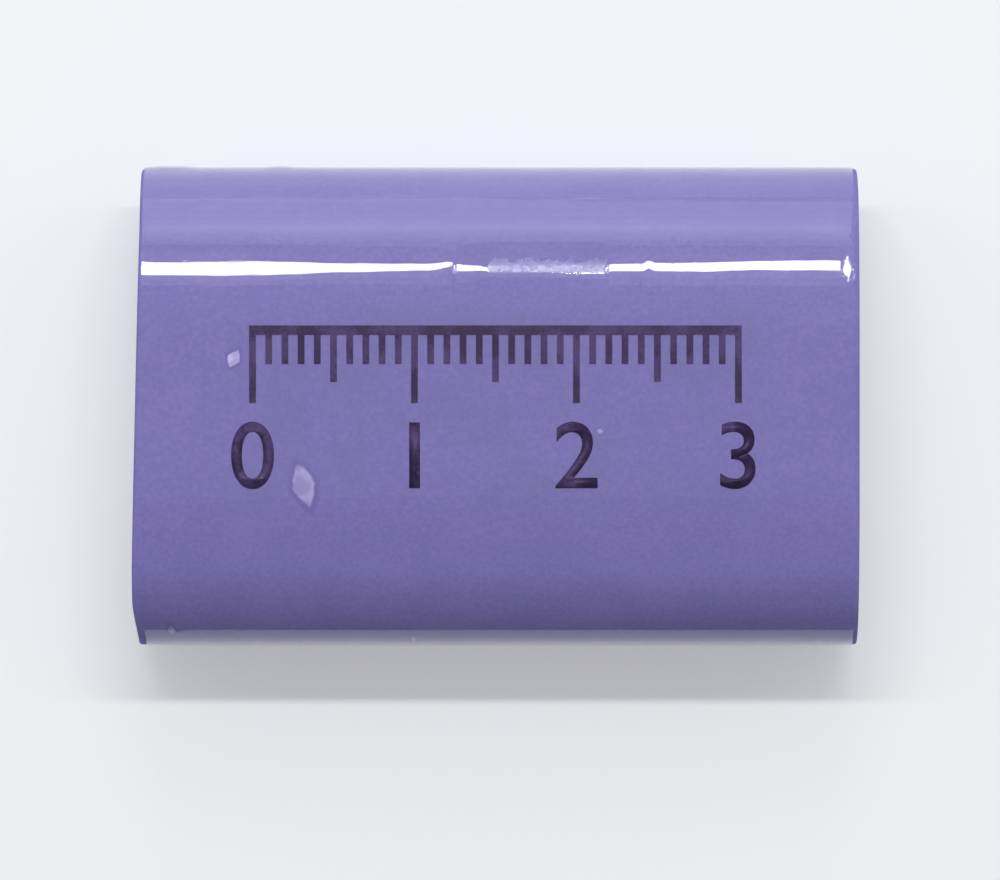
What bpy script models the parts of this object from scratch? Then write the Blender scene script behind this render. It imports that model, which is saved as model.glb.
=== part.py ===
"""Block eraser: a vinyl block of crowned oval section in a clear film sleeve that is open at both ends.

Metres, +Z up. X runs along the block, Y across its broad faces, and the sleeve's underside rests on Z = 0.
"""

from math import atan2, ceil, cos, dist, pi, radians, sin

import bpy

# Vinyl block, one length cut from an extruded bar
BLOCK_LENGTH = 0.045
BLOCK_WIDTH = 0.0295
BLOCK_THICKNESS = 0.0135
FACE_FLAT = 0.008  # the flat middle of each broad face
CROWN_RADIUS = 0.025  # the broad faces fall away from that flat on this radius
CUT_EDGE_RADIUS = 0.0005  # the soft rim round each cut end

# Clear film, wrapped once round the block and sealed to itself along a lap
FILM_WALL = 0.00015
FILM_CLEARANCE = 0.0001  # between the block and the film
FILM_SETBACK_LEFT = 0.0002  # from the block's end to the film's edge
FILM_SETBACK_RIGHT = 0.0003
LAP_EDGE_ANGLE = radians(38)  # the lap's free edge, on the rear shoulder of the upper face
LAP_WIDTH = 0.0042

# Fineness of the round stretches
ARC_STEP = radians(3.5)
CUT_EDGE_SEGMENTS = 3
SAME_POINT = 1e-7

# Heights and places that follow from the sizes above
FILM_INSIDE = FILM_CLEARANCE
FILM_OUTSIDE = FILM_INSIDE + FILM_WALL
AXIS_HEIGHT = BLOCK_THICKNESS / 2 + FILM_OUTSIDE


def section_arcs():
    """The block's section as six arcs: centre across, centre up, radius, first angle, last angle.

    An angle is that of the outward normal, from +Z towards +Y. Each crown runs tangent into a side arc, and
    the two flats are the straight gaps between the crowns.
    """
    half_flat = FACE_FLAT / 2
    half_thickness = BLOCK_THICKNESS / 2
    reach = BLOCK_WIDTH / 2 - half_flat
    crown_drop = CROWN_RADIUS - half_thickness
    side_radius = (2 * CROWN_RADIUS * half_thickness - reach**2 - half_thickness**2) / (
        2 * (CROWN_RADIUS - reach)
    )
    side_centre = half_flat + reach - side_radius
    meet = atan2(reach - side_radius, crown_drop)
    return [
        (half_flat, -crown_drop, CROWN_RADIUS, 0, meet),
        (side_centre, 0, side_radius, meet, pi - meet),
        (half_flat, crown_drop, CROWN_RADIUS, pi - meet, pi),
        (-half_flat, crown_drop, CROWN_RADIUS, pi, pi + meet),
        (-side_centre, 0, side_radius, pi + meet, 2 * pi - meet),
        (-half_flat, -crown_drop, CROWN_RADIUS, 2 * pi - meet, 2 * pi),
    ]


def outline(offset, first=0.0, last=2 * pi):
    """Points of the section moved outwards by offset, between two angles of its normal."""
    points = []
    for turn in (0, 2 * pi):
        for across, up, radius, start, end in section_arcs():
            low = max(start + turn, first)
            high = min(end + turn, last)
            if high <= low:
                continue
            steps = ceil((high - low) / ARC_STEP)
            for step in range(steps + 1):
                angle = low + (high - low) * step / steps
                point = (
                    across + (radius + offset) * sin(angle),
                    up + (radius + offset) * cos(angle),
                )
                if not points or dist(points[-1], point) > SAME_POINT:
                    points.append(point)
    return points


def film_outline():
    """The film's outer side: one layer nearly all the way round, and two layers over the lap."""
    side_radius = section_arcs()[1][2]
    lap_end = LAP_EDGE_ANGLE + LAP_WIDTH / (side_radius + FILM_OUTSIDE)
    single = outline(FILM_OUTSIDE, lap_end, LAP_EDGE_ANGLE + 2 * pi)
    double = outline(FILM_OUTSIDE + FILM_WALL, LAP_EDGE_ANGLE, lap_end)
    return single + double


def extruded(name, outlines, low_x, high_x, material):
    """A solid with the given outlines in the YZ plane, the outer one first, drawn out along X."""
    curve = bpy.data.curves.new(name, "CURVE")
    curve.dimensions = "2D"
    curve.fill_mode = "BOTH"
    curve.extrude = (high_x - low_x) / 2
    for points in outlines:
        spline = curve.splines.new("POLY")
        spline.points.add(len(points) - 1)
        for spline_point, (across, up) in zip(spline.points, points):
            spline_point.co = (across, up, 0, 1)
        spline.use_cyclic_u = True
    curve.materials.append(material)
    solid = bpy.data.objects.new(name, curve)
    solid.rotation_euler = (pi / 2, 0, pi / 2)
    solid.location = ((low_x + high_x) / 2, 0, AXIS_HEIGHT)
    weld = solid.modifiers.new("Weld", "WELD")
    weld.merge_threshold = SAME_POINT
    return solid


def finish(name, colour, roughness, transmission):
    material = bpy.data.materials.new(name)
    material.use_nodes = True
    shader = material.node_tree.nodes["Principled BSDF"]
    shader.inputs["Base Color"].default_value = (*colour, 1)
    shader.inputs["Roughness"].default_value = roughness
    shader.inputs["Metallic"].default_value = 0
    shader.inputs["Transmission Weight"].default_value = transmission
    return material


def make_eraser_block():
    """The vinyl block, with its two cut rims slightly rounded."""
    vinyl = finish("lilac_vinyl", (0.22, 0.18, 0.45), 0.45, 0)
    half_length = BLOCK_LENGTH / 2
    block = extruded("eraser_block", [outline(0)], -half_length, half_length, vinyl)
    rim = block.modifiers.new("Cut edges", "BEVEL")
    rim.width = CUT_EDGE_RADIUS
    rim.segments = CUT_EDGE_SEGMENTS
    rim.use_clamp_overlap = False
    rim.limit_method = "ANGLE"
    rim.angle_limit = radians(60)
    return block


def make_film_sleeve():
    """The clear band round the block. It slides along X, on the block's own axis."""
    film = finish("clear_film", (0.95, 0.96, 0.98), 0.05, 1)
    left = -BLOCK_LENGTH / 2 + FILM_SETBACK_LEFT
    right = BLOCK_LENGTH / 2 - FILM_SETBACK_RIGHT
    return extruded("film_sleeve", [film_outline(), outline(FILM_INSIDE)], left, right, film)


for old in list(bpy.data.objects):
    bpy.data.objects.remove(old)

eraser = bpy.data.collections.new("block_eraser")
bpy.context.scene.collection.children.link(eraser)
for piece in (make_eraser_block(), make_film_sleeve()):
    eraser.objects.link(piece)
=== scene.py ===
"""Looks of the block eraser: the vinyl block, its printed scale, its clear film sleeve and a plain studio.

Metres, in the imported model's frame: X along the block, Y across its broad faces, Z up from the table.
"""

from math import atan2, cos, exp, hypot, pi, radians, sin, tan, tau

import bmesh
import bpy
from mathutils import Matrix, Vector, noise


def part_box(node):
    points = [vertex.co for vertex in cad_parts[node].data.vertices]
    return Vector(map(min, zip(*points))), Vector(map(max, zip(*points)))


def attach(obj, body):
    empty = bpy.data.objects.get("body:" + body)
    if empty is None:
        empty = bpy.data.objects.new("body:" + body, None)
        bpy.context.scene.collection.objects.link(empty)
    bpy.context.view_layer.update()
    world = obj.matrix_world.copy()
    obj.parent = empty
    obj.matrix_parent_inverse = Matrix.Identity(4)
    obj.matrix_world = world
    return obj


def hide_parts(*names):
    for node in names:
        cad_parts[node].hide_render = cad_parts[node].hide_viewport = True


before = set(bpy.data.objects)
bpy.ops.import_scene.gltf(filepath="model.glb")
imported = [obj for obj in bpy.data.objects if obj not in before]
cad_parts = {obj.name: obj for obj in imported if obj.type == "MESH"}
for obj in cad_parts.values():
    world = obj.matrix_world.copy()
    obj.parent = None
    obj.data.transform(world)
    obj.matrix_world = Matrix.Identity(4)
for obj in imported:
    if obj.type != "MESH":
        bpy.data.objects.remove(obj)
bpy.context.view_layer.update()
MM = 0.001


# Vinyl block: one length guillotined from an extruded bar of soft lilac vinyl. The die gives it a crowned
# oval section of tangent arcs. The blade leaves soft rims, faintly dished ends and a slight lean on the left.
block_low, block_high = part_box("eraser_block")
BLOCK_LENGTH = block_high.x - block_low.x
HALF_WIDTH = (block_high.y - block_low.y) / 2
HALF_THICKNESS = (block_high.z - block_low.z) / 2
AXIS_HEIGHT = (block_high.z + block_low.z) / 2
HALF_FLAT = 4 * MM  # half of the flat middle of each broad face
CROWN_RADIUS = 25 * MM
BLOCK_SIDES = 300  # faces round the section
BLOCK_RINGS = 44  # cuts along the bar
VINYL_SWELL = 0.08 * MM  # the soft vinyl fills most of the room inside the film
RIM_RADIUS = 0.2 * MM
RIM_SEGMENTS = 6
DISH_RINGS = 3  # the dished cut ends go in by rings
DISH_STEP = 1.5 * MM  # the width of each ring
DISH_DEPTH = 0.02 * MM  # and how much deeper it is than the last
REAR_LEAN = 0.47 * MM  # how far the left end leans in towards its rear edge
REAR_LEAN_START = -10 * MM  # where across the block that lean begins
REAR_LEAN_WIDTH = 21 * MM
FRONT_LEAN = 0.30 * MM  # how far the left end is drawn in round its front edge
FRONT_LEAN_START = 12 * MM  # from the block's axis
LEAN_REACH = 9 * MM  # the stretch of the bar that both die out over
HOLLOW_DEPTH = 0.012 * MM  # of the bar's soft unevenness
HOLLOW_PITCH = 6 * MM
SMOOTH_ANGLE = radians(35)  # edges sharper than this stay crisp
SAME_PLACE = 1e-6

reach = HALF_WIDTH - HALF_FLAT  # from the flat's edge to the block's side
side_radius = (2 * CROWN_RADIUS * HALF_THICKNESS - reach**2 - HALF_THICKNESS**2) / (
    2 * (CROWN_RADIUS - reach)
)
meet = atan2(reach - side_radius, CROWN_RADIUS - HALF_THICKNESS)  # where the crown runs into the side arc
crown = (CROWN_RADIUS * meet, CROWN_RADIUS)
side = (side_radius * (pi - 2 * meet), side_radius)
half_flat = (HALF_FLAT, None)
whole_flat = (2 * HALF_FLAT, None)
# Length and radius of each stretch round the section, from the middle of the top towards +Y
STRETCHES = [half_flat, crown, side, crown, whole_flat, crown, side, crown, half_flat]
PERIMETER = sum(length for length, radius in STRETCHES)


def on_section(travel):
    """Place across, place up and the normal's angle from +Z, at a distance round the block's section."""
    left = travel % PERIMETER
    across, up, angle = 0, HALF_THICKNESS, 0
    for length, radius in STRETCHES:
        part = min(left, length)
        if radius is None:
            across += part * cos(angle)
            up -= part * sin(angle)
        else:
            turned = angle + part / radius
            across += radius * (sin(turned) - sin(angle))
            up += radius * (cos(turned) - cos(angle))
            angle = turned
        left -= part
        if left <= 0:
            break
    return across, up, angle


def ease(value, low, high):
    """0 below low, 1 above high, and a smooth rise between them."""
    t = min(max((value - low) / (high - low), 0), 1)
    return t * t * (3 - 2 * t)


def lean(x, y):
    """How far a point moves along X because the left end was cut a little askew."""
    near_end = 1 - ease(x, block_low.x, block_low.x + LEAN_REACH)
    rearward = min(max((y - REAR_LEAN_START) / REAR_LEAN_WIDTH, 0), 1)
    frontward = ease(-y, FRONT_LEAN_START, HALF_WIDTH)
    return near_end * (REAR_LEAN * rearward + FRONT_LEAN * frontward)


def select_edges(piece, wanted):
    """In edit mode, select only the edges whose two end points pass the test."""
    bpy.ops.mesh.select_mode(type="EDGE")
    bpy.ops.mesh.select_all(action="DESELECT")
    mesh = bmesh.from_edit_mesh(piece.data)
    for edge in mesh.edges:
        edge.select_set(wanted(edge.verts[0].co, edge.verts[1].co))
    mesh.select_flush_mode()
    bmesh.update_edit_mesh(piece.data)


def select_faces(piece, wanted):
    """In edit mode, select only the faces that pass the test."""
    bpy.ops.mesh.select_mode(type="FACE")
    bpy.ops.mesh.select_all(action="DESELECT")
    mesh = bmesh.from_edit_mesh(piece.data)
    for face in mesh.faces:
        face.select_set(wanted(face))
    bmesh.update_edit_mesh(piece.data)


bpy.ops.object.select_all(action="DESELECT")
bpy.ops.mesh.primitive_cylinder_add(
    vertices=BLOCK_SIDES,
    radius=HALF_THICKNESS,
    depth=BLOCK_LENGTH,
    location=(0, 0, AXIS_HEIGHT),
    rotation=(0, pi / 2, 0),
)
block = bpy.context.object
block.name = block.data.name = "vinyl_block"
bpy.ops.object.transform_apply(location=True, rotation=True, scale=True)
for vertex in block.data.vertices:
    share = atan2(vertex.co.y, vertex.co.z - AXIS_HEIGHT) / tau
    across, up, angle = on_section(share * PERIMETER)
    vertex.co.y = across + VINYL_SWELL * sin(angle)
    vertex.co.z = AXIS_HEIGHT + up + VINYL_SWELL * cos(angle)

bpy.ops.object.mode_set(mode="EDIT")
select_edges(block, lambda a, b: abs(a.x - b.x) < SAME_PLACE)
bpy.ops.mesh.bevel(offset=RIM_RADIUS, segments=RIM_SEGMENTS, clamp_overlap=False)
select_edges(block, lambda a, b: abs(a.x - b.x) > BLOCK_LENGTH / 2)
bpy.ops.mesh.subdivide(number_cuts=BLOCK_RINGS)
select_faces(block, lambda face: abs(face.normal.x) > 0.999)
for ring in range(DISH_RINGS):
    bpy.ops.mesh.inset(thickness=DISH_STEP, depth=-DISH_DEPTH)
bpy.ops.object.mode_set(mode="OBJECT")
outward = [vertex.normal.copy() for vertex in block.data.vertices]
for vertex, normal in zip(block.data.vertices, outward):
    hollow = (noise.noise(vertex.co / HOLLOW_PITCH) - 1) / 2
    vertex.co += normal * HOLLOW_DEPTH * hollow
    vertex.co.x += lean(vertex.co.x, vertex.co.y)
bpy.ops.object.shade_smooth_by_angle(angle=SMOOTH_ANGLE)


def add_node(tree, kind, inputs, **settings):
    """A new node with its settings made, and each input given a value or linked from an output."""
    made = tree.nodes.new(kind)
    for name, value in settings.items():
        setattr(made, name, value)
    for name, value in inputs.items():
        if isinstance(value, bpy.types.NodeSocket):
            tree.links.new(value, made.inputs[name])
        else:
            made.inputs[name].default_value = value
    return made


def plain_material(name):
    """A new material, its node tree and its shader."""
    material = bpy.data.materials.new(name)
    material.use_nodes = True
    return material, material.node_tree, material.node_tree.nodes["Principled BSDF"]


def blended(tree, share, first, second):
    """Colour output of a mix of two colours, by a share from 0 to 1."""
    return add_node(tree, "ShaderNodeMix", {0: share, 6: first, 7: second}, data_type="RGBA").outputs[2]


def reckoned(tree, operation, *values):
    """Value output of a sum, product or the like."""
    return add_node(tree, "ShaderNodeMath", dict(enumerate(values)), operation=operation).outputs[0]


def cloud(tree, vector, scale, detail):
    """Value output of a soft noise that mostly stays between 0.3 and 0.7."""
    inputs = {"Vector": vector, "Scale": scale, "Detail": detail}
    return add_node(tree, "ShaderNodeTexNoise", inputs).outputs["Fac"]


def box_distance(tree, vector, place, half_sizes):
    """Value output: 0 at the middle of a box, 1 at its faces and more outside it."""
    inputs = {"Vector": vector, "Location": place, "Scale": half_sizes}
    box = add_node(tree, "ShaderNodeMapping", inputs, vector_type="TEXTURE").outputs[0]
    apart = add_node(tree, "ShaderNodeVectorMath", {0: box}, operation="ABSOLUTE").outputs[0]
    sides = add_node(tree, "ShaderNodeSeparateXYZ", {"Vector": apart}).outputs
    return reckoned(tree, "MAXIMUM", reckoned(tree, "MAXIMUM", sides["X"], sides["Y"]), sides["Z"])


def spread(tree, value, low, high, to_low, to_high):
    """Value output that takes low..high smoothly to to_low..to_high."""
    inputs = {"Value": value, "From Min": low, "From Max": high, "To Min": to_low, "To Max": to_high}
    return add_node(tree, "ShaderNodeMapRange", inputs, interpolation_type="SMOOTHSTEP").outputs["Result"]


# Where the film clings to what is under it: soft patches, and one frayed stretch along the rear shoulder. The
# vinyl and the ink look deeper there, and along the stretch the film takes on their texture and turns dull.
CLING_SCALE = 260  # patches about 4 mm across
CLING_PLACE = (3.2 * MM, 8.66 * MM, block_high.z)
CLING_HALF_LENGTH = 3.7 * MM
CLING_HALF_WIDTH = 0.40 * MM
CLING_FRAY = 3.0  # how deeply its rear edge frays, in half widths
CLING_END_FRAY = 0.3  # and its ends, in half lengths

cling_group = bpy.data.node_groups.new("film_cling", "ShaderNodeTree")
cling_group.interface.new_socket("Vector", in_out="INPUT", socket_type="NodeSocketVector")
cling_group.interface.new_socket("Cling", in_out="OUTPUT", socket_type="NodeSocketFloat")
place = add_node(cling_group, "NodeGroupInput", {}).outputs["Vector"]
patches = cloud(cling_group, place, CLING_SCALE, 3)
scattered = spread(cling_group, patches, 0.54, 0.66, 0, 0.55)
ragged = cloud(cling_group, place, 2200, 3)
past_ends = box_distance(cling_group, place, CLING_PLACE, (CLING_HALF_LENGTH, 1, 1))
past_ends = reckoned(cling_group, "MULTIPLY_ADD", ragged, CLING_END_FRAY, past_ends)
inputs = {"Vector": place, "Location": CLING_PLACE, "Scale": (1, CLING_HALF_WIDTH, 1)}
from_middle = add_node(cling_group, "ShaderNodeMapping", inputs, vector_type="TEXTURE").outputs[0]
rearward = add_node(cling_group, "ShaderNodeSeparateXYZ", {"Vector": from_middle}).outputs["Y"]
frayed = reckoned(cling_group, "MULTIPLY_ADD", ragged, CLING_FRAY, rearward)
rear_edge = 1 + CLING_FRAY / 2
stretch = reckoned(
    cling_group,
    "MINIMUM",
    spread(cling_group, frayed, rear_edge - 0.05, rear_edge + 0.05, 1, 0),
    spread(cling_group, rearward, -1.05, -0.95, 0, 1),
)
stretch = reckoned(cling_group, "MINIMUM", stretch, spread(cling_group, past_ends, 1.11, 1.15, 1, 0))
add_node(cling_group, "NodeGroupOutput", {"Cling": reckoned(cling_group, "MAXIMUM", scattered, stretch)})

# Specks of air trapped under the film: the vinyl looks pale and dry inside each one, with a painted glint of
# the bubble added to that paleness, and painted shade lies round its rim. Each has a place along, a distance
# round from the middle of the top, a half length, a half width, a turn and a paleness.
AIR_SPECKS = [
    (-11.85 * MM, -4.9 * MM, 1.5 * MM, 0.78 * MM, radians(107), 0.5),
    (-16.15 * MM, 2.95 * MM, 0.66 * MM, 0.45 * MM, radians(62), 0.95),
    (6.45 * MM, -1.55 * MM, 0.24 * MM, 0.2 * MM, 0, 0.4),
    (-20.1 * MM, -15.0 * MM, 0.27 * MM, 0.36 * MM, 0, 0.38),
    (-5.1 * MM, -16.5 * MM, 0.14 * MM, 0.3 * MM, 0, 0.5),
]
SPECK_DEPTH = 3 * MM  # so that only one side of the block shows them
SPECK_FAR = 100  # farther from every speck than any place is, in its half sizes


def kite_distance(tree, vector, place, half_sizes, turn):
    """Value output: 0 at the middle of a blunt kite, 1 at its four points and more outside it."""
    inputs = {"Vector": vector, "Location": place, "Rotation": (0, 0, turn), "Scale": half_sizes}
    kite = add_node(tree, "ShaderNodeMapping", inputs, vector_type="TEXTURE").outputs[0]
    quarter = add_node(tree, "ShaderNodeVectorMath", {0: kite}, operation="ABSOLUTE").outputs[0]
    straight = add_node(tree, "ShaderNodeVectorMath", {0: quarter, 1: (1, 1, 1)}, operation="DOT_PRODUCT")
    rounded = add_node(tree, "ShaderNodeVectorMath", {0: kite}, operation="LENGTH")
    total = reckoned(tree, "ADD", straight.outputs["Value"], rounded.outputs["Value"])
    return reckoned(tree, "MULTIPLY", total, 0.5)


air_group = bpy.data.node_groups.new("trapped_air", "ShaderNodeTree")
air_group.interface.new_socket("Vector", in_out="INPUT", socket_type="NodeSocketVector")
air_group.interface.new_socket("DryAndGlint", in_out="OUTPUT", socket_type="NodeSocketFloat")
air_group.interface.new_socket("Rim", in_out="OUTPUT", socket_type="NodeSocketFloat")
place = add_node(air_group, "NodeGroupInput", {}).outputs["Vector"]
ragged = cloud(air_group, place, 1500, 2)
cloudy = cloud(air_group, place, 1100, 1)
nearest, inside = SPECK_FAR, 0
for x, travel, half_length, half_width, turn, paleness in AIR_SPECKS:
    across, up, angle = on_section(travel)
    half_sizes = (half_length, half_width, SPECK_DEPTH)
    away = kite_distance(air_group, place, (x, across, AXIS_HEIGHT + up), half_sizes, turn)
    away = reckoned(air_group, "MULTIPLY_ADD", ragged, 0.5, away)
    nearest = reckoned(air_group, "MINIMUM", away, nearest)
    inside = reckoned(air_group, "MAXIMUM", spread(air_group, away, 1.05, 1.25, paleness, 0), inside)
# Inside each speck: pale dry vinyl, lightened further by a painted glint of the bubble
dry_and_glint = reckoned(air_group, "MULTIPLY", inside, spread(air_group, cloudy, 0.35, 0.6, 0.55, 1))
outside = spread(air_group, nearest, 1.1, 1.35, 0, 1)
rim = reckoned(air_group, "MULTIPLY", outside, spread(air_group, nearest, 1.35, 1.75, 1, 0))
add_node(air_group, "NodeGroupOutput", {"DryAndGlint": dry_and_glint, "Rim": rim})

# Lilac vinyl: satin, a little mottled, with faint streaks drawn along the bar by the die and a fine grain.
VINYL_PALE = (0.241, 0.201, 0.484, 1)
VINYL_DEEP = (0.213, 0.177, 0.447, 1)
VINYL_CUT = (0.262, 0.226, 0.505, 1)
VINYL_DRAGGED = (0.226, 0.190, 0.454, 1)
# Pale dry vinyl under the specks of air, made paler still as a painted glint of the bubbles
VINYL_DRY_AND_GLINT = (0.640, 0.570, 0.880, 1)
# Painted shade round the rims of the specks of air
VINYL_RIM_SHADE = (0.150, 0.118, 0.345, 1)
VINYL_HAZED = (0.165, 0.150, 0.315, 1)  # where a trace of ink set off round the printing
PRINT_HAZE_HALF_SIZES = (17.5 * MM, 7 * MM, 3 * MM)

vinyl, tree, shader = plain_material("lilac_vinyl")
coordinates = add_node(tree, "ShaderNodeTexCoord", {}).outputs
place = coordinates["Object"]
mottle = cloud(tree, place, 330, 4)
along_bar = add_node(tree, "ShaderNodeMapping", {"Vector": place, "Scale": (0.06, 1, 1)}).outputs[0]
streaks = cloud(tree, along_bar, 1300, 3)
grain = cloud(tree, place, 3800, 3)
cling = add_node(tree, "ShaderNodeGroup", {"Vector": place}, node_tree=cling_group).outputs["Cling"]
air = add_node(tree, "ShaderNodeGroup", {"Vector": place}, node_tree=air_group).outputs
tone = reckoned(tree, "MULTIPLY_ADD", streaks, 0.4, mottle)
tone = reckoned(tree, "MULTIPLY_ADD", grain, 2.2, tone)
tone = reckoned(tree, "MULTIPLY_ADD", cling, -0.12, tone)
skin = blended(tree, spread(tree, tone, 1.4, 2.2, 0, 1), VINYL_DEEP, VINYL_PALE)
from_print = box_distance(tree, place, (0, 0, block_high.z), PRINT_HAZE_HALF_SIZES)
hazed = spread(tree, from_print, 0.75, 1.1, 0.3, 0)
hazed = reckoned(tree, "MULTIPLY", hazed, spread(tree, mottle, 0.4, 0.6, 0, 1))
skin = blended(tree, hazed, skin, VINYL_HAZED)
# Painted shade round the rim of each speck of air, then its pale inside with a painted glint
skin = blended(tree, reckoned(tree, "MULTIPLY", air["Rim"], 0.45), skin, VINYL_RIM_SHADE)
skin = blended(tree, air["DryAndGlint"], skin, VINYL_DRY_AND_GLINT)
facing = add_node(tree, "ShaderNodeSeparateXYZ", {"Vector": coordinates["Normal"]}).outputs
cut = spread(tree, reckoned(tree, "ABSOLUTE", facing["X"]), 0.75, 0.97, 0, 1)
down_blade = add_node(tree, "ShaderNodeMapping", {"Vector": place, "Scale": (1, 1, 0.05)}).outputs[0]
blade = cloud(tree, down_blade, 2600, 3)
bands = cloud(tree, down_blade, 620, 1)
dragged = reckoned(tree, "MULTIPLY_ADD", bands, 0.9, blade)
dragged = reckoned(tree, "MULTIPLY_ADD", mottle, 0.35, dragged)
cut_face = blended(tree, spread(tree, dragged, 0.85, 1.4, 0, 1), VINYL_DRAGGED, VINYL_CUT)
tree.links.new(blended(tree, cut, skin, cut_face), shader.inputs["Base Color"])
skin_roughness = spread(tree, streaks, 0.3, 0.7, 0.52, 0.66)
tree.links.new(reckoned(tree, "MULTIPLY_ADD", cut, 0.1, skin_roughness), shader.inputs["Roughness"])
height = reckoned(tree, "MULTIPLY_ADD", streaks, 0.4, grain)
height = reckoned(tree, "MULTIPLY_ADD", reckoned(tree, "MULTIPLY", dragged, cut), 10, height)
bump = add_node(tree, "ShaderNodeBump", {"Strength": 0.35, "Distance": 0.01 * MM, "Height": height})
tree.links.new(bump.outputs[0], shader.inputs["Normal"])
shader.inputs["Specular IOR Level"].default_value = 0.04
block.data.materials.append(vinyl)
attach(block, "block")
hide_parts("eraser_block")


# Printed scale: a plain graduation of 30 divisions with its numbers, pad-printed in dark purple ink on the
# flat of the upper face before the film goes on. The ink lies on the vinyl and is patchy where the pad
# lifted.
SCALE_LENGTH = 30 * MM
SCALE_TOP = 5.0 * MM  # the base line's upper edge, across the block
BASE_LINE = 0.6 * MM
DIVISIONS = 30
DIVISIONS_PER_NUMBER = 10
MARK_WIDTH = 0.42 * MM
LONG_MARK = 4.8 * MM  # at the numbers
MIDDLE_MARK = 3.5 * MM  # half way between them
SHORT_MARK = 2.4 * MM
INK_THICKNESS = 0.012 * MM
INK_SINK = 0.03 * MM  # into the vinyl, so that no light passes under the ink
NUMBER_SIZE = 5.8 * MM
NUMBER_FOOT = -5.0 * MM
NUMBER_BOLDNESS = 0.05 * MM

INK_HEIGHT = block_high.z + VINYL_SWELL + INK_THICKNESS
division = SCALE_LENGTH / DIVISIONS


def mark_length(mark):
    if mark % DIVISIONS_PER_NUMBER == 0:
        return LONG_MARK
    return MIDDLE_MARK if mark % (DIVISIONS_PER_NUMBER / 2) == 0 else SHORT_MARK


def under_mark(a, b, length):
    """Whether an edge is the base line's lower edge under a mark of this length."""
    mark = round(((a.x + b.x) / 2 + SCALE_LENGTH / 2) / division)
    narrow = abs(a.x - b.x) < MARK_WIDTH * 1.1
    return narrow and max(a.y, b.y) < SCALE_TOP - BASE_LINE / 2 and mark_length(mark) == length


bpy.ops.object.select_all(action="DESELECT")
bpy.ops.mesh.primitive_grid_add(x_subdivisions=2 * DIVISIONS + 1, y_subdivisions=1, size=1)
printed = bpy.context.object
printed.name = printed.data.name = "printed_scale"
for vertex in printed.data.vertices:
    column = round((vertex.co.x + 0.5) * (2 * DIVISIONS + 1))
    mark, right_side = divmod(column, 2)
    middle = mark * division - SCALE_LENGTH / 2
    vertex.co.x = middle + (MARK_WIDTH / 2 if right_side else -MARK_WIDTH / 2)
    vertex.co.y = SCALE_TOP if vertex.co.y > 0 else SCALE_TOP - BASE_LINE
    vertex.co.z = INK_HEIGHT
bpy.ops.object.mode_set(mode="EDIT")
for length in (SHORT_MARK, MIDDLE_MARK, LONG_MARK):
    select_edges(printed, lambda a, b: under_mark(a, b, length))
    bpy.ops.mesh.extrude_region_move(TRANSFORM_OT_translate={"value": (0, -(length - BASE_LINE), 0)})
bpy.ops.object.mode_set(mode="OBJECT")

numbers = []
for number in range(DIVISIONS // DIVISIONS_PER_NUMBER + 1):
    middle = number * DIVISIONS_PER_NUMBER * division - SCALE_LENGTH / 2
    bpy.ops.object.select_all(action="DESELECT")
    bpy.ops.object.text_add(location=(middle, NUMBER_FOOT, INK_HEIGHT))
    figure = bpy.context.object
    figure.data.body = str(number)
    figure.data.size = NUMBER_SIZE
    figure.data.align_x = "CENTER"
    figure.data.offset = NUMBER_BOLDNESS
    bpy.ops.object.convert(target="MESH")
    bpy.ops.object.transform_apply(location=True, rotation=True, scale=True)
    numbers.append(figure)
for figure in numbers:
    figure.select_set(True)
printed.select_set(True)
bpy.context.view_layer.objects.active = printed
bpy.ops.object.join()
solidify = printed.modifiers.new("Ink film", "SOLIDIFY")
solidify.thickness = INK_THICKNESS + INK_SINK
solidify.offset = -1
bpy.ops.object.modifier_apply(modifier="Ink film")

INK_DEEP = (0.016, 0.0003, 0.042, 1)
INK_THIN = (0.062, 0.032, 0.124, 1)

ink, tree, shader = plain_material("printing_ink")
place = add_node(tree, "ShaderNodeTexCoord", {}).outputs["Object"]
pad_lift = cloud(tree, place, 420, 3)
pinholes = cloud(tree, place, 4200, 2)
cling = add_node(tree, "ShaderNodeGroup", {"Vector": place}, node_tree=cling_group).outputs["Cling"]
thin = reckoned(tree, "MULTIPLY_ADD", pinholes, 0.35, pad_lift)
thin = reckoned(tree, "MULTIPLY_ADD", cling, -0.15, thin)
thin = spread(tree, thin, 0.55, 0.8, 0, 1)
tree.links.new(blended(tree, thin, INK_DEEP, INK_THIN), shader.inputs["Base Color"])
tree.links.new(spread(tree, pad_lift, 0.3, 0.7, 0.4, 0.6), shader.inputs["Roughness"])
shader.inputs["Specular IOR Level"].default_value = 0.25
printed.data.materials.clear()
printed.data.materials.append(ink)
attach(printed, "block")


# Clear film sleeve: a strip of thin glossy film, wrapped once round the block and welded to itself in a lap
# on the rear shoulder, with both ends left open. It stands a hair off the vinyl, in shallow waves, with fine
# folds across the rear shoulder, two puckers and a few specks of trapped air.
film_low, film_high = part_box("film_sleeve")
FILM_THICKNESS = 0.02 * MM
FILM_STAND_OFF = 0.16 * MM  # its outer side, from the vinyl
LAP_EDGE_ANGLE = radians(42)
LAP_WIDTH = 4.2 * MM
LAP_RAMP = 1.5 * MM  # where the outer layer comes down off the inner one
LAP_EDGE_WANDER = 0.12 * MM
WANDER_PITCH = (4 * MM, 4 * MM)
WANDER_LAYER = 9.1  # of the noise that the wander is taken from
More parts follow.
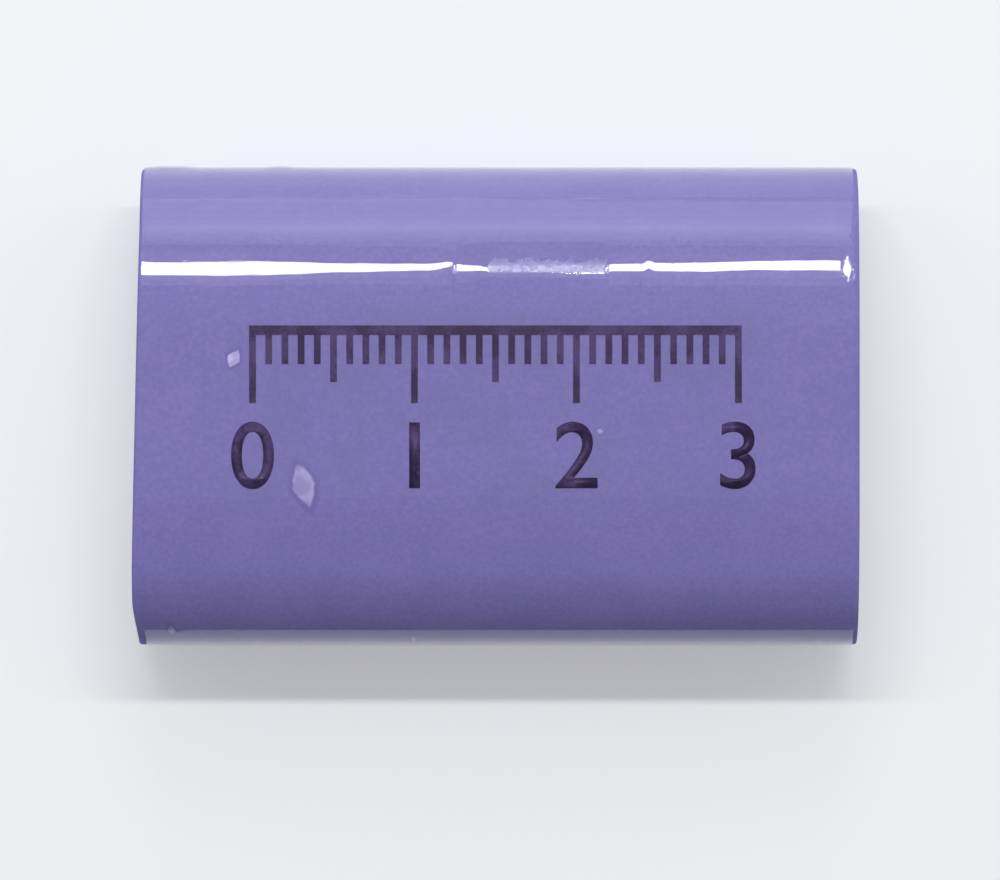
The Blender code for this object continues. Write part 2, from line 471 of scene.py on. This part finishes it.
# Shallow waves and finer ones: height, pitch along and round the film, and the layer of the noise
WAVES = [
    (0.010 * MM, (9 * MM, 6 * MM), 1.7),
    (0.0022 * MM, (2.6 * MM, 2.2 * MM), 5.3),
]
FILM_COLUMNS = 110
FILM_ROWS = 180
FINE_CUTS = 3  # extra cuts along the crest and at the specks of air, and again at the folds
CREST = 8.75 * MM  # where the strip lamp shows in the film, from the top round to the rear
CREST_REACH = 1.3 * MM
FINE_REACH = 1.2 * CREST_REACH  # half the width of the finely cut band along the crest
SPECK_MARGIN = 1.3  # reach of the fine cuts round a speck of air, in its longer half size
# Slack along the crest: place along in mm, how much more sharply than the crown the film bends there, per
# metre, and how far to the rear the crest lies, in mm
SLACK = [
    (-22, -18, 0),
    (-13, -18, 0),
    (-9.5, -4, 0),
    (-6, 8, 0),
    (-3.9, 14, 0),
    (-2.75, 40, 0),
    (-2.35, 12, 0),
    (-1.3, 22, -0.1),
    (-0.3, 65, -0.45),
    (6.75, 65, -0.62),
    (6.95, 12, 0),
    (10, 6, 0),
    (14, 1, 0),
    (21.2, -4, 0),
    (21.5, -28, 0),
]
# Twists across the crest: place along, reach to the left, reach to the right, slope
TWISTS = [
    (-2.72 * MM, 0.65 * MM, 0.1 * MM, 0.013),
    (-1.6 * MM, 0.7 * MM, 0.7 * MM, -0.005),
    (9.5 * MM, 0.2 * MM, 0.2 * MM, 0.012),
    (21.2 * MM, 8.0 * MM, 0.15 * MM, 0.009),
    (21.75 * MM, 0.4 * MM, 0.6 * MM, 0.0005),
]
# Fine pinched folds across the crest, which break the lamp's reflection: place along, height, half width, bow
FOLDS = [
    (-2.52 * MM, 0.032 * MM, 0.09 * MM, 0),
    (6.95 * MM, 0.018 * MM, 0.06 * MM, 0),
    (8.95 * MM, 0.012 * MM, 0.06 * MM, 0),
    (11.0 * MM, 0.012 * MM, 0.06 * MM, 0),
    (21.38 * MM, 0.020 * MM, 0.06 * MM, 0.24 * MM),
    (22.07 * MM, 0.020 * MM, 0.06 * MM, -0.24 * MM),
]
FOLD_MIDDLE = -0.3 * MM  # from the crest
FOLD_REACH = 1.2 * MM
FOLD_CUT_REACH = 1.3 * FOLD_REACH
FOLD_CUT_MARGIN = 2.5  # reach of the cuts to each side of a fold, in its half widths
FOLD_BEND = 0.9 * MM  # how far from its middle a fold has turned aside by the whole of its bow
SPECK_HEIGHT = 0.03 * MM  # of the film over the specks of air
EDGE_SKEW = 0.3 * MM  # how much further in the film's left edge lies, low at the front
EDGE_SKEW_LENGTH = 6 * MM  # how far along the film that dies out
EDGE_SKEW_START = 9 * MM  # where it begins, from the block's axis to the front
EDGE_SKEW_END = 14 * MM  # and where it is whole
EDGE_CURL = 0.03 * MM  # how far the film's right edge turns in
EDGE_CURL_WIDTH = 0.12 * MM

free_edge = HALF_FLAT + CROWN_RADIUS * meet + side_radius * (LAP_EDGE_ANGLE - meet)
side_middle = HALF_FLAT + CROWN_RADIUS * meet + side_radius * (pi / 2 - meet)
# Puckers where the film stands loose on the rear side: place along, distance round, half length, half width
# and height
PUCKERS = [
    (-20.6 * MM, side_middle - 0.4 * MM, 1.6 * MM, 1.2 * MM, 0.083 * MM),
    (-13.4 * MM, side_middle - 0.3 * MM, 0.9 * MM, 1.0 * MM, 0.074 * MM),
]


def hump(x, travel, at_x, at_travel, half_length, half_width, turn=0):
    """A smooth bump of height 1 over an ellipse."""
    along = x - at_x
    round_it = travel - at_travel
    u = (along * cos(turn) + round_it * sin(turn)) / half_length
    v = (round_it * cos(turn) - along * sin(turn)) / half_width
    return exp(-2 * (u * u + v * v) ** 2)


def waviness(x, travel, pitch, layer):
    """A soft unevenness between -1 and 1."""
    return noise.noise(Vector((x / pitch[0], travel / pitch[1], layer)))


def fold_place(at_x, bow, from_middle):
    """Where a bowed fold lies along the film, at a distance round from its middle."""
    return at_x + bow * ease(abs(from_middle), 0, FOLD_BEND)


def slack(x):
    """The film's extra bend at the crest and how far to the rear the crest lies, from the listed places."""
    for (left, *low), (right, *high) in zip(SLACK, SLACK[1:]):
        if x <= right * MM:
            share = ease(x, left * MM, right * MM)
            return [first + (last - first) * share for first, last in zip(low, high)]
    return SLACK[-1][1:]


def stand_off(x, travel):
    """How far the film's outer side stands off the vinyl, at a place along it and a distance round it."""
    near = (travel + PERIMETER / 2) % PERIMETER - PERIMETER / 2
    lift = FILM_STAND_OFF
    for height, pitch, layer in WAVES:
        lift += height * waviness(x, near, pitch, layer)
    for *speck, paleness in AIR_SPECKS:
        lift += SPECK_HEIGHT * hump(x, near, *speck)
    bend, rearward = slack(x)
    past = near - CREST - rearward * MM
    by_crest = exp(-((past / CREST_REACH) ** 2))
    lift -= by_crest * bend * past * past / 2
    for at_x, left, right, slope in TWISTS:
        along = x - at_x
        lift += by_crest * slope * past * exp(-((along / (left if along < 0 else right)) ** 2))
    from_middle = near - CREST - FOLD_MIDDLE
    for at_x, height, half_width, bow in FOLDS:
        along = x - fold_place(at_x, bow, from_middle)
        lift += height * exp(-((from_middle / FOLD_REACH) ** 4) - (along / half_width) ** 2)
    lift -= EDGE_CURL * max(x - film_high.x + EDGE_CURL_WIDTH, 0) ** 2 / EDGE_CURL_WIDTH**2
    for at_x, at_travel, half_length, half_width, height in PUCKERS:
        lift += height * hump(x, near, at_x, at_travel, half_length, half_width)
    return lift


bpy.ops.object.select_all(action="DESELECT")
bpy.ops.mesh.primitive_grid_add(
    x_subdivisions=FILM_COLUMNS,
    y_subdivisions=FILM_ROWS,
    size=1,
    location=((film_low.x + film_high.x) / 2, PERIMETER / 2, 0),
)
film = bpy.context.object
film.name = film.data.name = "clear_film_sleeve"
film.scale = (film_high.x - film_low.x, PERIMETER, 1)
bpy.ops.object.transform_apply(location=True, rotation=True, scale=True)
bpy.ops.object.mode_set(mode="EDIT")


def place_on_film(face):
    """Place along, and distance round from the middle of the top, of a face of the strip while it is flat."""
    middle = face.calc_center_median()
    return middle.x, free_edge + middle.y - PERIMETER


def on_crest_or_speck(face):
    x, travel = place_on_film(face)
    return abs(travel - CREST) < FINE_REACH or any(
        hypot(x - at_x, travel - at_travel) < SPECK_MARGIN * max(half_length, half_width)
        for at_x, at_travel, half_length, half_width, turn, paleness in AIR_SPECKS
    )


def on_fold(face):
    x, travel = place_on_film(face)
    from_middle = travel - CREST - FOLD_MIDDLE
    return abs(from_middle) < FOLD_CUT_REACH and any(
        abs(x - fold_place(at_x, bow, from_middle)) < FOLD_CUT_MARGIN * half_width
        for at_x, height, half_width, bow in FOLDS
    )


select_faces(film, on_crest_or_speck)
bpy.ops.mesh.subdivide(number_cuts=FINE_CUTS)
select_faces(film, on_fold)
bpy.ops.mesh.subdivide(number_cuts=FINE_CUTS)
select_edges(film, lambda a, b: max(a.y, b.y) < SAME_PLACE or min(a.y, b.y) > PERIMETER - SAME_PLACE)
bpy.ops.mesh.bridge_edge_loops()
bpy.ops.object.mode_set(mode="OBJECT")
lap = film.vertex_groups.new(name="lap")
for vertex in film.data.vertices:
    x, from_edge = vertex.co.x, vertex.co.y
    if from_edge < LAP_WIDTH:
        lap.add([vertex.index], 1, "REPLACE")
    outer_layer = 1 - ease(from_edge, LAP_WIDTH, LAP_WIDTH + LAP_RAMP)
    at_edge = 1 - ease(min(from_edge, PERIMETER - from_edge), 0, LAP_WIDTH)
    wander = LAP_EDGE_WANDER * waviness(x, 0, WANDER_PITCH, WANDER_LAYER)
    travel = free_edge + from_edge + at_edge * wander
    lift = stand_off(x, travel) + outer_layer * FILM_THICKNESS
    across, up, angle = on_section(travel)
    across += lift * sin(angle)
    by_left_edge = 1 - ease(x, film_low.x, film_low.x + EDGE_SKEW_LENGTH)
    skew = EDGE_SKEW * by_left_edge * ease(-across, EDGE_SKEW_START, EDGE_SKEW_END)
    vertex.co = (x + skew + lean(x, across), across, AXIS_HEIGHT + up + lift * cos(angle))
bpy.ops.object.mode_set(mode="EDIT")
bpy.ops.mesh.select_all(action="SELECT")
bpy.ops.mesh.normals_make_consistent(inside=False)
bpy.ops.object.mode_set(mode="OBJECT")
solidify = film.modifiers.new("Film", "SOLIDIFY")
solidify.thickness = 2 * FILM_THICKNESS
solidify.offset = -1
solidify.vertex_group = "lap"
solidify.thickness_vertex_group = 0.5
bpy.ops.object.modifier_apply(modifier="Film")
bpy.ops.object.shade_smooth_by_angle(angle=SMOOTH_ANGLE)

# Clear film: glossy, with a trace of haze. It is least dull along the middle of the stretch where it clings.
FILM_IOR = 1.3  # its two faces then reflect about as much as the one free face of a film that clings
DULL_CORE_PLACE = (0, 8.45 * MM, block_high.z)
DULL_CORE_HALF_WIDTH = 0.3 * MM
DULL_BUMP = 0.003 * MM
CLEAR = (1, 1, 1, 1)
LAP_EDGE_SHADE = (0.84, 0.83, 0.86, 1)  # painted shade: a faint darker line along the right half of the lap's free edge
LAP_SHADE_MIDDLE = 13 * MM
LAP_SHADE_HALF_SIZES = (17 * MM, 0.2 * MM, 0.2 * MM)

clear_film, tree, shader = plain_material("clear_film")
place = add_node(tree, "ShaderNodeTexCoord", {}).outputs["Object"]
cling = add_node(tree, "ShaderNodeGroup", {"Vector": place}, node_tree=cling_group).outputs["Cling"]
pressed_on = spread(tree, cling, 0.56, 0.95, 0, 1)
haze = cloud(tree, place, 700, 3)
free_roughness = spread(tree, haze, 0.4, 0.7, 0.015, 0.04)
texture = cloud(tree, place, 3200, 3)
dulled = reckoned(tree, "MULTIPLY", pressed_on, spread(tree, texture, 0.35, 0.65, 0.18, 0.27))
from_core = box_distance(tree, place, DULL_CORE_PLACE, (1, DULL_CORE_HALF_WIDTH, 1))
dulled = reckoned(tree, "MULTIPLY", dulled, spread(tree, from_core, 0.5, 1.8, 1, 2.2))
tree.links.new(reckoned(tree, "ADD", dulled, free_roughness), shader.inputs["Roughness"])
across, up, angle = on_section(free_edge)
edge_height = FILM_STAND_OFF + FILM_THICKNESS
across += edge_height * sin(angle)
up += edge_height * cos(angle)
# Painted shade: the film's colour darkens in a patchy line along the right half of the lap's free edge
from_lap_edge = box_distance(tree, place, (LAP_SHADE_MIDDLE, across, AXIS_HEIGHT + up), LAP_SHADE_HALF_SIZES)
from_lap_edge = reckoned(tree, "MULTIPLY_ADD", haze, 0.6, from_lap_edge)
lap_shade_patches = cloud(tree, place, 230, 2)
lap_edge_shade = spread(tree, from_lap_edge, 0.4, 1.4, 1, 0)
lap_edge_shade = reckoned(tree, "MULTIPLY", lap_edge_shade, spread(tree, lap_shade_patches, 0.3, 0.55, 0.4, 1))
tree.links.new(blended(tree, lap_edge_shade, CLEAR, LAP_EDGE_SHADE), shader.inputs["Base Color"])
shader.inputs["Transmission Weight"].default_value = 1
shader.inputs["IOR"].default_value = FILM_IOR
pressed = reckoned(tree, "MULTIPLY", texture, pressed_on)
bump = add_node(tree, "ShaderNodeBump", {"Strength": 1, "Distance": DULL_BUMP, "Height": pressed})
tree.links.new(bump.outputs[0], shader.inputs["Normal"])
# Light from lamps and off the vinyl goes straight through a film this thin
path = add_node(tree, "ShaderNodeLightPath", {})
unhindered = reckoned(tree, "MAXIMUM", path.outputs["Is Shadow Ray"], path.outputs["Is Diffuse Ray"])
passing = add_node(tree, "ShaderNodeBsdfTransparent", {}).outputs[0]
surface = add_node(tree, "ShaderNodeMixShader", {0: unhindered, 1: shader.outputs[0], 2: passing})
tree.links.new(surface.outputs[0], tree.nodes["Material Output"].inputs["Surface"])
film.data.materials.append(clear_film)
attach(film, "sleeve")
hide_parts("film_sleeve")


# Floor: a plain pale table top, large enough to fill every view. To the camera and in reflections it shows
# a little whiter than it is lit, and the block's shadow stays on it.
FLOOR_SIZE = 8
FLOOR_COLOUR = (0.92, 0.92, 0.92, 1)
FLOOR_LIFT = 0.35  # how much of its white stays where a shadow falls

bpy.ops.object.select_all(action="DESELECT")
bpy.ops.mesh.primitive_plane_add(size=FLOOR_SIZE)
floor = bpy.context.object
floor.name = floor.data.name = "floor"
table_top, tree, shader = plain_material("table_top")
shader.inputs["Base Color"].default_value = FLOOR_COLOUR
shader.inputs["Roughness"].default_value = 0.9
shader.inputs["Specular IOR Level"].default_value = 0
path = add_node(tree, "ShaderNodeLightPath", {})
seen = reckoned(tree, "MAXIMUM", path.outputs["Is Camera Ray"], path.outputs["Is Glossy Ray"])
seen = reckoned(tree, "MAXIMUM", seen, path.outputs["Is Transmission Ray"])
lifted = reckoned(tree, "MULTIPLY", seen, FLOOR_LIFT)
white = add_node(tree, "ShaderNodeEmission", {"Color": (1, 1, 1, 1), "Strength": 1}).outputs[0]
surface = add_node(tree, "ShaderNodeMixShader", {0: lifted, 1: shader.outputs[0], 2: white})
tree.links.new(surface.outputs[0], tree.nodes["Material Output"].inputs["Surface"])
floor.data.materials.append(table_top)


# Lamps: a strip lamp above the rear shoulder that runs on dimly at both ends, and a wide dim panel behind.
# Each has a name, a place along, its nearest and farthest angle from straight up towards +Y in degrees, a
# distance, a length and a radiance.
LAMPS = [
    ("strip_lamp", 0, 21.1, 23.63, 0.5, 0.30, 51),
    ("strip_lamp_left", -0.41, 21.1, 23.63, 0.5, 0.50, 8),
    ("strip_lamp_right", 0.41, 21.1, 23.63, 0.5, 0.50, 8),
    ("strip_lamp_rim", 0, 19.2, 21.0, 0.51, 0.30, 1.2),
    ("strip_lamp_skirt", 0, 17.4, 19.2, 0.51, 0.30, 0.75),
]
# The panel's diffuser is brightest near its upper edge: an angle, and the radiance from there to the next
PANEL = [
    (29, 0.8),
    (33, 1.15),
    (37, 1.55),
    (41, 2.05),
    (44, 2.4),
    (51, 1.85),
    (57, 1.4),
    (66, 1.1),
    (75, 0.95),
    (82, 0.85),
    (88.5, 0),
]
PANEL_DISTANCE = 0.6
PANEL_LENGTH = 0.2
for (near_angle, radiance), (far_angle, beyond) in zip(PANEL, PANEL[1:]):
    name = f"rear_panel_{near_angle}"
    LAMPS.append((name, 0, near_angle, far_angle, PANEL_DISTANCE, PANEL_LENGTH, radiance))

for name, along, near_angle, far_angle, distance, length, radiance in LAMPS:
    tilt = radians((near_angle + far_angle) / 2)
    width = 2 * distance * tan(radians((far_angle - near_angle) / 2))
    place = (along, distance * sin(tilt), AXIS_HEIGHT + distance * cos(tilt))
    bpy.ops.object.light_add(type="AREA", location=place, rotation=(-tilt, 0, 0))
    lamp = bpy.context.object
    lamp.name = lamp.data.name = name
    lamp.data.shape = "RECTANGLE"
    lamp.data.size = length
    lamp.data.size_y = width
    lamp.data.energy = radiance * pi * length * width


# Dark card: a sheet of dull black board that stands just out of the picture in front. Only reflections show
# it, and it gives the film its deep front shoulder.
CARD_PLACE = -0.037
CARD_HEIGHT = 0.25
CARD_LENGTH = 0.9
CARD_COLOUR = (0.02, 0.022, 0.03, 1)

bpy.ops.object.select_all(action="DESELECT")
bpy.ops.mesh.primitive_plane_add(size=1, location=(0, CARD_PLACE, CARD_HEIGHT / 2), rotation=(pi / 2, 0, 0))
card = bpy.context.object
card.name = card.data.name = "dark_card"
card.scale = (CARD_LENGTH, CARD_HEIGHT, 1)
bpy.ops.object.transform_apply(location=True, rotation=True, scale=True)
card.visible_camera = False
card.visible_diffuse = False
card.visible_shadow = False
dull_black, tree, shader = plain_material("dull_black")
shader.inputs["Base Color"].default_value = CARD_COLOUR
shader.inputs["Roughness"].default_value = 1
path = add_node(tree, "ShaderNodeLightPath", {})
reflected = reckoned(tree, "MINIMUM", path.outputs["Glossy Depth"], 1)
passing = add_node(tree, "ShaderNodeBsdfTransparent", {}).outputs[0]
surface = add_node(tree, "ShaderNodeMixShader", {0: reflected, 1: passing, 2: shader.outputs[0]})
tree.links.new(surface.outputs[0], tree.nodes["Material Output"].inputs["Surface"])
card.data.materials.append(dull_black)


# Room: soft light from all round, brighter behind the block than in front of it, with pale walls that are
# a little blue.
ROOM_FRONT = (0.15, 0.155, 0.17, 1)
ROOM_REAR = (0.52, 0.56, 0.63, 1)

room = bpy.data.worlds.new("room")
room.use_nodes = True
tree = room.node_tree
direction = add_node(tree, "ShaderNodeTexCoord", {}).outputs["Generated"]
rearward = add_node(tree, "ShaderNodeSeparateXYZ", {"Vector": direction}).outputs["Y"]
rearward = spread(tree, rearward, -0.9, 0.9, 0, 1)
tree.links.new(blended(tree, rearward, ROOM_FRONT, ROOM_REAR), tree.nodes["Background"].inputs["Color"])
bpy.context.scene.world = room


# Camera: straight above the upper face, from far enough that the long sides look parallel. The block lies a
# little above the middle of the picture.
CAMERA_DISTANCE = 0.70  # from the top of the sleeve
SENSOR_WIDTH = 36
FRAME_PIXELS = 1000
PIXELS_PER_MM = 16.2  # at the top of the sleeve
CAMERA_PLACE = (0.28 * MM, -2.08 * MM)

camera_data = bpy.data.cameras.new("camera")
camera_data.sensor_width = SENSOR_WIDTH
camera_data.lens = SENSOR_WIDTH * CAMERA_DISTANCE / (FRAME_PIXELS / PIXELS_PER_MM * MM)
camera = bpy.data.objects.new("camera", camera_data)
camera.location = (*CAMERA_PLACE, film_high.z + CAMERA_DISTANCE)
bpy.context.scene.collection.objects.link(camera)
bpy.context.scene.camera = camera
bpy.context.scene.view_settings.view_transform = "Standard"
